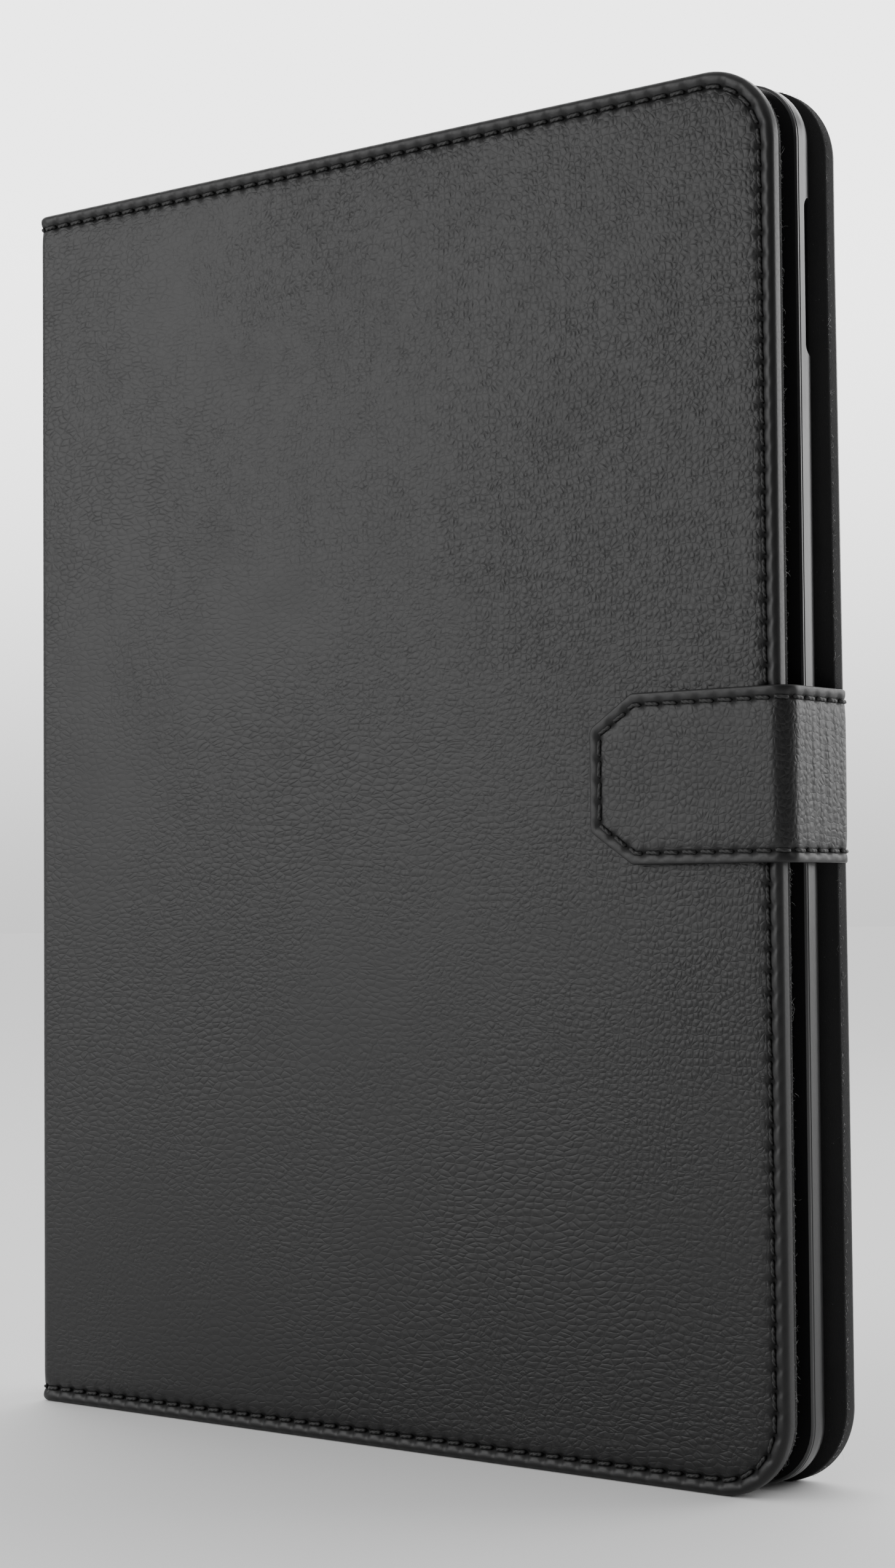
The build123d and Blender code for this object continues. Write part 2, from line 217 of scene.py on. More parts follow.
class CaseStrap(bpy.types.PropertyGroup):
    """Sizes of the strap."""
    front_bend: metres("Front bend", "Outer radius where the strap turns on to the front cover", 3.6 * MM)
    root_bend: metres("Root bend", "Outer radius where the strap leaves the back cover", 4.2 * MM)
    clip_along: metres("Clip along", "Clipped corner of the tab, along its side", 9 * MM)
    clip_across: metres("Clip across", "Clipped corner of the tab, along its end", 6 * MM)
    corner: metres("Corner", "Rounding of the tab's corners", 1.9 * MM)


class CaseStudio(bpy.types.PropertyGroup):
    """Lights, floor and camera."""
    floor_color: tint("Floor", "Colour of the floor and backdrop", (0.86, 0.86, 0.86))
    world: FloatProperty(
        name="Room light", description="Strength of the light from all round", default=1.0, min=0)
    key: FloatProperty(
        name="Front light", description="Power of the front softbox, in watts", default=14.0, min=0)
    side: FloatProperty(
        name="Side light", description="Power of the side softbox, in watts", default=9.0, min=0)
    lens: FloatProperty(
        name="Lens", description="Focal length on a 36 mm frame", default=66.0, min=10,
        subtype="DISTANCE_CAMERA")


# ---------------------------------------------------------------- shader expressions

class Value:
    """Output of a shader node. Arithmetic on it adds Math nodes to its graph."""

    def __init__(self, graph, socket):
        self.graph = graph
        self.socket = socket

    def __add__(self, other):
        return self.graph.math("ADD", self, other)

    def __sub__(self, other):
        return self.graph.math("SUBTRACT", self, other)

    def __rsub__(self, other):
        return self.graph.math("SUBTRACT", other, self)

    def __mul__(self, other):
        return self.graph.math("MULTIPLY", self, other)

    def __truediv__(self, other):
        return self.graph.math("DIVIDE", self, other)

    __radd__ = __add__
    __rmul__ = __mul__


class Graph:
    """Node tree of a material, or of the room's light, that ends in one shader."""

    def __init__(self, owner, last="Principled BSDF"):
        owner.use_nodes = True
        self.owner = owner
        self.tree = owner.node_tree
        self.last = self.tree.nodes[last]

    def node(self, kind, settings=None, sockets=None, out=0):
        """Adds a node: its settings first, then the values or links of its sockets."""
        made = self.tree.nodes.new("ShaderNode" + kind)
        for key, value in (settings or {}).items():
            setattr(made, key, value)
        for key, value in (sockets or {}).items():
            self._set(made.inputs[key], value)
        return Value(self, made.outputs[out])

    def _set(self, target, value):
        if isinstance(value, Value):
            self.tree.links.new(value.socket, target)
        else:
            target.default_value = value

    def math(self, operation, a, b=0.0, clamp=False):
        return self.node("Math", {"operation": operation, "use_clamp": clamp}, {0: a, 1: b})

    def step(self, value, low, high):
        """0 below low and 1 above high, with a smooth rise between."""
        sockets = {"Value": value, "From Min": low, "From Max": high}
        return self.node("MapRange", {"interpolation_type": "SMOOTHSTEP"}, sockets)

    def blend(self, factor, a, b):
        """Colour a where factor is 0 and colour b where it is 1."""
        return self.node("Mix", {"data_type": "RGBA"}, {0: factor, 6: a, 7: b}, out=2)

    def shift(self, vector, amount):
        """The vector moved by another vector, both in metres."""
        return self.node("VectorMath", {"operation": "ADD"}, {0: vector, 1: amount})

    def centred(self, color, reach):
        """Noise colour made a push of up to half of reach either way, in metres."""
        sockets = {0: color, 1: (reach,) * 3, 2: (-reach / 2,) * 3}
        return self.node("VectorMath", {"operation": "MULTIPLY_ADD"}, sockets)

    def other(self, value, output):
        """Another output of the node that a value comes from."""
        return Value(self, value.socket.node.outputs[output])

    def place(self, scale=(1, 1, 1), turn=(0, 0, 0)):
        """Object coordinates, turned and stretched."""
        source = self.node("TexCoord", out=3)
        return self.node("Mapping", None, {"Vector": source, "Rotation": turn, "Scale": scale})

    def flat(self, vector):
        """The vector laid flat: length and depth added up, and height."""
        parts = self.node("SeparateXYZ", None, {"Vector": vector})
        sockets = {"X": parts + self.other(parts, "Y"), "Y": self.other(parts, "Z")}
        return self.node("CombineXYZ", None, sockets)

    def noise(self, where, size, detail=3.0, roughness=0.5, out=0):
        """Cloudy noise whose features are about size across."""
        sockets = {"Vector": where, "Scale": 1 / size, "Detail": detail, "Roughness": roughness}
        return self.node("TexNoise", None, sockets, out)

    def cells(self, where, size, feature="F1", randomness=1.0):
        """Distance from the middle of flat cells that are about size across, or to their edges."""
        sockets = {"Vector": where, "Scale": 1 / size, "Randomness": randomness}
        return self.node("TexVoronoi", {"voronoi_dimensions": "2D", "feature": feature}, sockets)

    def attribute(self, name):
        return self.node("Attribute", {"attribute_name": name}, out=2)

    def bump(self, height, distance, strength=1.0, under=None):
        """Normal of a height field, in metres, over another bump."""
        sockets = {"Height": height, "Distance": distance, "Strength": strength}
        if under is not None:
            sockets["Normal"] = under
        return self.node("Bump", None, sockets)

    def finish(self, **sockets):
        """Sets the last shader's sockets, named with underscores for spaces."""
        for key, value in sockets.items():
            self._set(self.last.inputs[key.replace("_", " ")], value)
        return self.owner


def dyed(color, factor=1.0):
    """Colour with alpha, darker or paler by a factor."""
    return (color[0] * factor, color[1] * factor, color[2] * factor, 1.0)


# ---------------------------------------------------------------- materials

def leather_material(settings, name, grain=1.0, sewn=True):
    """Embossed synthetic leather.

    Cells are drawn on flattened coordinates that slow and fine noise push about. Where a slow mask lets
    them they are round, each with a low dome and a valley round it, and elsewhere they are drawn out
    along the case. Noise breaks the valleys up. Margins outside the thread stay smooth."""
    g = Graph(bpy.data.materials.new(name))
    here = g.place()
    flow = g.centred(g.noise(here, 38 * MM, 2, out=1), 6 * MM)
    ripple = g.centred(g.noise(here, 3.0 * MM, 1, 0.5, out=1), 0.8 * MM)
    round_cells = g.flat(g.shift(g.shift(here, flow), ripple))
    long_cells = g.node("Mapping", None, {"Vector": round_cells, "Scale": (0.5, 1, 1)})
    pebble, long_pebble = settings.pebble, 0.85 * settings.pebble
    dome = 1.0 - g.step(g.cells(round_cells, pebble, "F1", 0.8), 0.0, 0.45)
    valley = 1.0 - g.step(g.cells(round_cells, pebble, "DISTANCE_TO_EDGE", 0.8), 0.0, 0.18)
    ridge = 1.0 - g.step(g.cells(long_cells, long_pebble, "F1"), 0.0, 0.60)
    crease = 1.0 - g.step(g.cells(long_cells, long_pebble, "DISTANCE_TO_EDGE"), 0.0, 0.18)
    pores = g.noise(here, 0.30 * MM, 3, 0.6)
    place_x = g.node("SeparateXYZ", None, {"Vector": here})
    corner = g.step(place_x + 0.55 * g.other(place_x, "Z"), 0.045, 0.150)
    patch = g.step(g.noise(here, 30 * MM, 2, 0.5), 0.42, 0.62)
    domed = g.math("ADD", 0.85 * corner, 0.35 * patch, clamp=True)
    calm = 0.35 + 0.65 * g.step(g.noise(here, 60 * MM, 2, 0.5), 0.36, 0.60)
    broken = 0.60 + 0.40 * g.step(g.noise(here, 5 * MM, 3, 0.6), 0.36, 0.66)
    furrow = (valley * domed + crease * (1.0 - domed) * calm) * broken
    relief = 0.44 * dome * domed + 0.35 * ridge * (1.0 - domed) * calm - 0.30 * furrow
    depth = grain
    if sewn:
        depth = grain * (1.0 - 0.9 * g.attribute("plain"))
    normal = g.bump(relief * depth, settings.grain, 1.0)
    normal = g.bump(pores, 0.008 * MM, 0.7, normal)
    rub = g.step(g.noise(here, 14 * MM, 5, 0.6), 0.45, 0.75)
    color = g.blend(rub * 0.2, dyed(settings.color), dyed(settings.color, 1.4))
    # Painted shade: the colour is darkened in the grain's valleys and creases.
    color = g.blend(0.25 * furrow, color, dyed(settings.color, 0.5))
    rough = settings.roughness + 0.03 * rub + 0.10 * (pores - 0.5) + 0.06 * furrow
    if sewn:
        # Painted shade: the thread's channel and its needle holes are darkened nearly to black, and made
        # rougher.
        groove_shade = g.attribute("groove_shade")
        color = g.blend(groove_shade, color, dyed(settings.color, 0.12))
        rough = rough + 0.5 * groove_shade
    return g.finish(Base_Color=color, Roughness=rough, Normal=normal, Specular_IOR_Level=0.27)


def thread_material(settings):
    """Waxed thread of two plies: slanting furrows that follow the thread."""
    g = Graph(bpy.data.materials.new("waxed_thread"))
    uv = g.node("UVMap", {"uv_map": "thread"})
    parts = g.node("SeparateXYZ", None, {"Vector": uv})
    around = g.other(parts, "Y")
    furrow = g.math("SINE", (around * 2.0 + parts * 3.0) * (2 * math.pi))
    fuzz = g.noise(g.place(), 0.12 * MM, 2)
    relief = g.bump(furrow * 0.5 + fuzz * 0.6, 0.08 * MM)
    # Painted shade: the thread is darker in the furrows between its plies.
    color = g.blend(g.step(furrow, -0.9, 0.6), dyed(settings.color, 0.3), dyed(settings.color))
    return g.finish(Base_Color=color, Roughness=0.48 + 0.1 * fuzz, Normal=relief, Specular_IOR_Level=0.4)


def lining_material(settings):
    """Brushed microfibre: a short nap with brushed patches and a few pale specks."""
    g = Graph(bpy.data.materials.new("microfibre"))
    here = g.place()
    nap = g.noise(g.place((1, 1, 0.45)), 0.22 * MM, 3, 0.7)
    brushed = g.step(g.noise(here, 22 * MM, 4, 0.65), 0.3, 0.75)
    specks = g.step(g.noise(here, 0.5 * MM, 1, 0.5), 0.76, 0.80)
    color = g.blend(brushed, dyed(settings.color, 0.88), dyed(settings.color, 1.12))
    color = g.blend(specks * 0.5, color, dyed(settings.fluff_color, 0.3))
    relief = g.bump(nap, 0.16 * MM, 0.9)
    return g.finish(
        Base_Color=color, Roughness=0.92 + 0.06 * nap, Normal=relief, Sheen_Weight=0.08,
        Sheen_Roughness=0.5, Specular_IOR_Level=0.15)


def fluff_material(settings):
    """Loose fibres, paler at random."""
    g = Graph(bpy.data.materials.new("fluff"))
    where = g.noise(g.place(), 0.9 * MM, 1)
    color = g.blend(g.step(where, 0.35, 0.7), dyed(settings.fluff_color, 0.1), dyed(settings.fluff_color))
    return g.finish(Base_Color=color, Roughness=0.8 + 0.1 * where)


def plastic_material(name, color, roughness, texture):
    """Moulded plastic with a fine spark texture and faint smears."""
    g = Graph(bpy.data.materials.new(name))
    here = g.place()
    sparks = g.noise(here, 0.10 * MM, 2, 0.6)
    smears = g.step(g.noise(g.place((1, 1, 0.3)), 11 * MM, 4, 0.6), 0.42, 0.72)
    tone = g.blend(smears * 0.5, dyed(color, 0.9), dyed(color, 1.2))
    relief = g.bump(sparks, texture, 0.7)
    return g.finish(Base_Color=tone, Roughness=roughness + 0.08 * smears, Normal=relief)


def board_material(name, color):
    """Pressed board: flecks and a dull face."""
    g = Graph(bpy.data.materials.new(name))
    flecks = g.noise(g.place(), 0.6 * MM, 5, 0.7)
    tone = g.blend(g.step(flecks, 0.35, 0.65), dyed(color, 0.75), dyed(color, 1.1))
    return g.finish(Base_Color=tone, Roughness=0.8 + 0.1 * flecks, Normal=g.bump(flecks, 0.1 * MM, 0.5))


def steel_material():
    """Nickel plated steel with a faint brushed grain."""
    g = Graph(bpy.data.materials.new("plated_steel"))
    brush = g.noise(g.place((1, 1, 0.05)), 0.2 * MM, 3)
    tone = g.blend(brush, (0.50, 0.50, 0.49, 1), (0.68, 0.67, 0.65, 1))
    return g.finish(Base_Color=tone, Metallic=1.0, Roughness=0.26 + 0.12 * brush)


def floor_material(settings):
    """Matt painted floor with the faintest mottle."""
    g = Graph(bpy.data.materials.new("studio_floor"))
    mottle = g.noise(g.place(), 60 * MM, 3)
    tone = g.blend(mottle, dyed(settings.floor_color, 0.985), dyed(settings.floor_color))
    return g.finish(Base_Color=tone, Roughness=0.85, Specular_IOR_Level=0.2)


# ---------------------------------------------------------------- shapes

class Path:
    """Line in X and Y made of runs, each (length, turn in radians), laid end to end.

    On a straight run a point moves along the heading. On a bend it moves round a circle whose radius is
    the run's length over its turn. Depth is measured square to the line, to the left of the heading if
    side is 1 and to the right if it is -1."""

    def __init__(self, start, heading, runs, side):
        self.lengths = np.array([run[0] for run in runs], float)
        self.bends = np.array([run[1] for run in runs]) / self.lengths
        turned = np.cumsum([run[1] for run in runs])
        self.starts = np.concatenate([[0.0], np.cumsum(self.lengths)[:-1]])
        self.headings = heading + np.concatenate([[0.0], turned[:-1]])
        self.total = float(self.lengths.sum())
        self.side = side
        self.origins = np.array([start], float)
        for index in range(len(runs) - 1):
            step = self._within(np.array([self.lengths[index]]), np.array([index]))
            self.origins = np.vstack([self.origins, self.origins[-1] + np.stack(step[:2], 1)])

    def _within(self, s, index):
        """Move from the start of a run to length s on it, and the heading there."""
        bend, heading = self.bends[index], self.headings[index]
        angle = heading + bend * s
        safe = np.where(bend == 0, 1.0, bend)
        x = np.where(bend == 0, s * np.cos(heading), (np.sin(angle) - np.sin(heading)) / safe)
        y = np.where(bend == 0, s * np.sin(heading), (np.cos(heading) - np.cos(angle)) / safe)
        return x, y, angle

    def place(self, u, depth):
        """X and Y of points at length u on the line and at a depth from it, as whole arrays."""
        last = len(self.starts) - 1
        index = np.clip(np.searchsorted(self.starts, u, "right") - 1, 0, last)
        x, y, angle = self._within(u - self.starts[index], index)
        x = self.origins[index, 0] + x - self.side * depth * np.sin(angle)
        y = self.origins[index, 1] + y + self.side * depth * np.cos(angle)
        return x, y


def rounded_line(corners, radii, straight, bends):
    """Rows of points along polylines with rounded corners.

    corners is (rows, corners, 2) and radii is (rows, inner corners). Each row runs straight from one
    tangent point to the next, and round each corner on a circle that touches both sides. straight and
    bends are the numbers of points on each straight run and each bend."""
    run = np.diff(corners[0], axis=0)
    run /= np.linalg.norm(run, axis=1)[:, None]
    starts, parts = corners[:, 0], []
    for index, count in enumerate(straight):
        if index < len(bends):
            turn = math.acos(float(np.clip(run[index] @ run[index + 1], -1, 1)))
            inward = run[index + 1] - run[index] * math.cos(turn)
            inward /= np.linalg.norm(inward)
            radius = radii[:, index, None]
            stop = corners[:, index + 1] - run[index] * radius * math.tan(turn / 2)
        else:
            stop = corners[:, -1]
        last = index == len(straight) - 1
        share = np.linspace(0, 1, count + last, endpoint=last)[None, :, None]
        parts.append(starts[:, None] * (1 - share) + stop[:, None] * share)
        if index < len(bends):
            angle = np.linspace(0, turn, bends[index], endpoint=False)[None, :, None]
            move = np.sin(angle) * run[index] + (1 - np.cos(angle)) * inward
            parts.append(stop[:, None] + radius[:, None] * move)
            end = math.sin(turn) * run[index] + (1 - math.cos(turn)) * inward
            starts = stop + radius * end
    return np.concatenate(parts, axis=1)


def cover_outline(length, height, inset, spacing):
    """U-shaped rows: out along the bottom, up the opening side and back along the top."""
    low, high, out = inset, height - inset, length - inset
    zero = np.zeros_like(inset)
    corners = np.stack([
        np.stack([zero, low], 1), np.stack([out, low], 1),
        np.stack([out, high], 1), np.stack([zero, high], 1)], axis=1)
    radii = np.maximum(CORNER - inset, TINY)[:, None].repeat(2, 1)
    leg = int((length - CORNER) / spacing)
    side = int((height - 2 * CORNER) / spacing)
    bend = int(CORNER * math.pi / 2 / spacing)
    return rounded_line(corners, radii, (leg, side, leg), (bend, bend))


def strap_outline(length, height, inset, spacing, clip_along, clip_across, corner):
    """U-shaped rows round the strap: out along its lower edge, round the clipped end and back.

    A row is the outline moved in by its inset, each side square to itself, and the corners between the
    sides follow from where the moved sides meet."""
    slope = math.hypot(clip_along, clip_across)
    across, along = clip_across / slope, clip_along / slope
    near = length - clip_along - inset * (1 - along) / across
    edge = inset + clip_across - inset * (1 - (1 - across) / along)
    zero, out, low, high = np.zeros_like(inset), length - inset, inset, height - inset
    corners = np.stack([
        np.stack([zero, low], 1), np.stack([near, low], 1), np.stack([out, edge], 1),
        np.stack([out, height - edge], 1), np.stack([near, high], 1), np.stack([zero, high], 1)],
        axis=1)
    radii = np.maximum(corner - inset, TINY)[:, None].repeat(4, 1)
    leg = int((length - clip_along) / spacing)
    clip = int(slope / spacing)
    end = int((height - 2 * clip_across) / spacing)
    bend = 6
    return rounded_line(corners, radii, (leg, clip, end, clip, leg), (bend,) * 4)


def edge_section(face_roll, back_roll, inner, steps=6):
    """Section of a plate's edge, from its visible face round to its hidden face.

    Gives inset, fixed depth, share of the thickness and share of the lip. The face turns through a
    quarter circle of radius face_roll into the side, and the side through one of radius back_roll into
    the back. Past the lip, the back runs in to the inset called inner."""
    angle = np.linspace(0, math.pi / 2, steps)
    inset = [face_roll * (1 - np.sin(angle)), back_roll * (1 - np.cos(angle)), [back_roll, inner]]
    depth = [face_roll * (1 - np.cos(angle)), back_roll * (np.sin(angle) - 1), [0.0, 0.0]]
    share = [np.zeros(steps), np.ones(steps), [1.0, 1.0]]
    lip = [np.zeros(steps), np.ones(steps), [0.0, 0.0]]
    return tuple(np.concatenate(part) for part in (inset, depth, share, lip))


def drawn_in(rows, length, height, shares):
    """Rows that close a U-shaped face: each point moves straight to the middle line, by its share.

    The middle line runs at half the height, and stops half the height short of the face's far end."""
    stop = length - height / 2
    target = np.stack([np.minimum(rows[:, 0], stop), np.full(len(rows), height / 2)], axis=1)
    return rows[None] * (1 - shares[:, None, None]) + target[None] * shares[:, None, None]


def length_along(line):
    """Length from a line's start to each of its points: its steps added up."""
    return np.concatenate([[0.0], np.cumsum(np.linalg.norm(np.diff(line, axis=0), axis=1))])


def seam_phase(line, pitch):
    """Length along a stitch line counted in stitches, with a whole number from end to end."""
    length = length_along(line)
    count = max(1, round(length[-1] / pitch))
    return length / length[-1] * count, count


def sewn_relief(inset, phase, seam, channel, swell):
    """Depth that the sewing pulls into the face.

    A narrow bell runs along the seam and is deepest at the needle holes, a wider one draws the leather
    down beside it, and half a wave lifts the margin outside it."""
    hole = (0.5 + 0.5 * np.cos(2 * np.pi * phase)) ** 3
    away = inset - seam
    narrow = np.exp(-(away / ((0.34 + 0.36 * hole) * MM)) ** 2)
    pinch = np.exp(-(away / (0.95 * MM)) ** 2)
    slope = np.where(away > 0, np.exp(-(away / (1.9 * MM)) ** 2), pinch)
    margin = np.sin(np.pi * np.clip(inset / (seam - (0.25 + 0.55 * hole) * MM), 0, 1)) * (away < 0)
    sunk = channel * (narrow * (0.75 + 0.25 * hole) + 0.55 * pinch * hole + 0.35 * slope)
    return sunk - swell * margin * (1 - 0.5 * hole)


def slow_waves(u, z, size, depth, seed):
    """Slow unevenness of a padded face: a sum of a few long waves in random directions."""
    rng = np.random.default_rng(seed)
    total = np.zeros_like(u)
    for _ in range(6):
        angle, length = rng.uniform(0, math.pi), size * rng.uniform(0.7, 1.6)
        phase = rng.uniform(0, 2 * math.pi)
        total += np.sin((u * math.cos(angle) + z * math.sin(angle)) * 2 * math.pi / length + phase)
    return depth * total / 6


def grid_mesh(name, points, weld, attributes=None, uv=None, keep=(), close=True):
    """Mesh of quads from grids of points (grids, rows, columns, 3).

    Doubles are welded, so that seams and poles close. keep holds (length, direction) pairs that cut a
    flat pattern off there, on the side of that direction. What stays open is closed with one flat face
    that has sharp edges."""
    grids, rows, columns = points.shape[:3]
    index = np.arange(grids * rows * columns).reshape(grids, rows, columns)
    quads = np.stack(
        [index[:, :-1, :-1], index[:, :-1, 1:], index[:, 1:, 1:], index[:, 1:, :-1]], axis=-1)
    quads = quads.reshape(-1, 4)
    mesh = bpy.data.meshes.new(name)
    mesh.from_pydata(points.reshape(-1, 3), [], quads)
    for key, values in (attributes or {}).items():
        layer = mesh.attributes.new(key, "FLOAT", "POINT")
        layer.data.foreach_set("value", np.asarray(values, np.float32).reshape(-1))
    if uv is not None:
        layer = mesh.uv_layers.new(name="thread")
        layer.data.foreach_set("uv", uv.reshape(-1, 2)[quads.reshape(-1)].reshape(-1))
    bm = bmesh.new()
    bm.from_mesh(mesh)
    bmesh.ops.remove_doubles(bm, verts=bm.verts, dist=weld)
    for place, direction in keep:
        everything = bm.verts[:] + bm.edges[:] + bm.faces[:]
        bmesh.ops.bisect_plane(
            bm, geom=everything, plane_co=(place, 0, 0), plane_no=(direction, 0, 0), clear_outer=True)
    rims = [edge for edge in bm.edges if edge.is_boundary and close]
    bmesh.ops.holes_fill(bm, edges=rims, sides=0)
    for face in bm.faces:
        face.smooth = True
    for edge in rims:
        edge.smooth = False
    bm.to_mesh(mesh)
    bm.free()
    return mesh


def face_outwards(mesh):
    """Turns a closed mesh's faces to point out of it."""
    bm = bmesh.new()
    bm.from_mesh(mesh)
    bmesh.ops.recalc_face_normals(bm, faces=bm.faces)
    bm.to_mesh(mesh)
    bm.free()


def lay_along(mesh, path, low=0.0):
    """Bends a flat pattern (length, depth, height) along a path, lifts it, and faces it outwards."""
    flat = np.empty(len(mesh.vertices) * 3)
    mesh.vertices.foreach_get("co", flat)
    flat = flat.reshape(-1, 3)
    x, y = path.place(flat[:, 0], flat[:, 1])
    mesh.vertices.foreach_set("co", np.stack([x, y, flat[:, 2] + low], axis=1).reshape(-1))
    face_outwards(mesh)
    mesh.update()
    return mesh


def add_piece(mesh, material):
    """Object for a finished mesh, with its material."""
    piece = bpy.data.objects.new(mesh.name, mesh)
    bpy.context.scene.collection.objects.link(piece)
    mesh.materials.append(material)
    return piece


def dress(node, material):
    """Gives a CAD node its finish."""
    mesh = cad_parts[node].data
    mesh.materials.clear()
    mesh.materials.append(material)


def plate(
        name, outline, length, height, seam, thickness, rolls, insets, shares, relief, keep=(), lip=0.0):
    """Closed plate with rolled edges, as a flat pattern of (length, depth, height).

    Its rows start on the middle line, step out over the face to the outline, turn round the edge and
    run back behind to the middle line. thickness(u) is the plate's depth, and relief(u, z, inset,
    phase) the depth of its face. A lip carries the side on past the back, away from the fold. The grain
    fades out in the margin outside the seam."""
    fixed_inset, fixed, share, lipped = edge_section(*rolls, insets[-1])
    face = np.asarray(insets)[::-1]
    every = np.concatenate([face, fixed_inset])
    rows = outline(every)
    phase, _ = seam_phase(outline(np.array([seam]))[0], bpy.context.scene.case_thread.pitch)
    shares = np.asarray(shares)[::-1]
    behind = np.array([0.5, 1.0])
    flat = np.concatenate([
        drawn_in(rows[0], length, height, shares), rows, drawn_in(rows[-1], length, height, behind)])
    ahead = len(shares) + len(face)
    deep = np.concatenate([np.zeros(ahead), fixed, np.zeros(2)])[:, None]
    part = np.concatenate([np.zeros(ahead), share, np.ones(2)])[:, None]
    far = np.concatenate([np.ones(len(shares)), every, np.ones(2)])[:, None]
    u, z = flat[..., 0], flat[..., 1]
    reach = np.concatenate([np.zeros(ahead), lipped, np.zeros(2)])[:, None] * lip
    reach = reach * np.clip((u - LIP_START) / LIP_RISE, 0, 1)
    depth = deep + part * thickness(u) + (1 - part) * relief(u, z, far, phase[None]) + reach
    plain = np.clip(1 - (far - seam) / (0.9 * MM), 0, 1) * np.ones_like(u)
    hole = (0.5 + 0.5 * np.cos(2 * np.pi * phase[None])) ** 2
    # Mask of the thread's channel, strongest at the needle holes, where the leather paints shade.
    groove_shade = np.exp(-((far - seam) / ((0.36 + 0.22 * hole) * MM)) ** 2) * (0.35 + 0.65 * hole)
    points = np.stack([u, depth, z], axis=-1)
    return grid_mesh(name, points[None], WELD, {"plain": plain, "groove_shade": groove_shade}, keep=keep)


def thread_along(name, line, settings, sink, keep=None):
    """Stitches along a seam, as a flat pattern of (length, depth, height).

    Each stitch is a bar that thins to nothing at its ends, where it dives into the needle holes. Its
    middle lies at the depth called sink. Its section is a circle with two low lobes, the plies, that
    turn as they go along it. keep is a (length, direction) pair that drops the stitches past there."""
    phase, count = seam_phase(line, settings.pitch)
    t = np.linspace(-1, 1, 9)[None, :, None]
    around = np.linspace(0, 2 * math.pi, 9)[None, None, :]
    middle = np.arange(count)[:, None, None] + 0.5
    if keep is not None:
        place, direction = keep
        centre = np.interp(middle[:, 0, 0], phase, line[:, 0])
        middle = middle[(centre - place) * direction < 0]
    at = middle + 0.44 * t
    u, z = np.interp(at, phase, line[:, 0]), np.interp(at, phase, line[:, 1])
    du = np.interp(at + 0.05, phase, line[:, 0]) - np.interp(at - 0.05, phase, line[:, 0])
    dz = np.interp(at + 0.05, phase, line[:, 1]) - np.interp(at - 0.05, phase, line[:, 1])
    size = np.maximum(np.hypot(du, dz), FINE)
    radius = settings.thickness / 2 * np.sqrt(np.clip(1 - t ** 8, 0, 1))
    radius = radius * (1 + 0.10 * np.cos(2 * around + 9 * t))
    side = radius * np.cos(around) + 0.12 * MM * t
    depth = sink + 0.42 * MM * t ** 4 - radius * np.sin(around) + np.zeros_like(u)
    points = np.stack([u - side * dz / size, depth, z + side * du / size], axis=-1)
    ones = np.ones_like(points[..., 0])
    uv = np.stack([(t + 1) / 2 * ones, around / (2 * math.pi) * ones], axis=-1)
    return grid_mesh(name, points, SAME, uv=uv)


def loose_fibres(name, line, settings, count, seed):
    """Loose fibres along an edge: thin three-sided tubes on random arcs, as a flat pattern.

    Each starts on the edge line, leans along it and away from it, and curls by a random amount."""
    rng = np.random.default_rng(seed)
    length = length_along(line)
    at = rng.uniform(0, length[-1], count)[:, None]
    ahead = np.stack([np.interp(at + MM, length, line[:, k]) for k in (0, 1)], axis=-1)
    start = np.stack([np.interp(at, length, line[:, k]) for k in (0, 1)], axis=-1)
    along = (ahead - start) / np.maximum(np.linalg.norm(ahead - start, axis=-1, keepdims=True), FINE)
    out = np.stack([along[..., 1], -along[..., 0]], axis=-1)
    t = np.linspace(0, 1, 4)[None, :]
    reach = settings.fluff_length * rng.lognormal(-0.25, 0.5, count)[:, None]
    lean = rng.normal(0, 1.1, count)[:, None] + rng.normal(0, 1.2, count)[:, None] * t
    tilt = rng.normal(0, 0.5, count)[:, None]
    flat = start + reach[..., None] * t[..., None] * (
        out * (0.75 * np.cos(lean))[..., None] + along * np.sin(lean)[..., None])
    depth = rng.uniform(0.1, 0.9, count)[:, None] * MM + reach * t * np.sin(tilt)
    around = np.linspace(0, 2 * math.pi, 4)[None, None, :]
    radius = 0.034 * MM * (1 - 0.7 * t[..., None] ** 2)
    high = np.clip(flat[..., 1], 0.1 * MM, HEIGHT + 0.4 * MM)[..., None]
    points = np.stack([
        flat[..., 0][..., None] + radius * np.cos(around) * out[..., 0][..., None],
        depth[..., None] + radius * np.sin(around),
        high + radius * np.cos(around) * out[..., 1][..., None]], axis=-1)
    return grid_mesh(name, points, FINE)


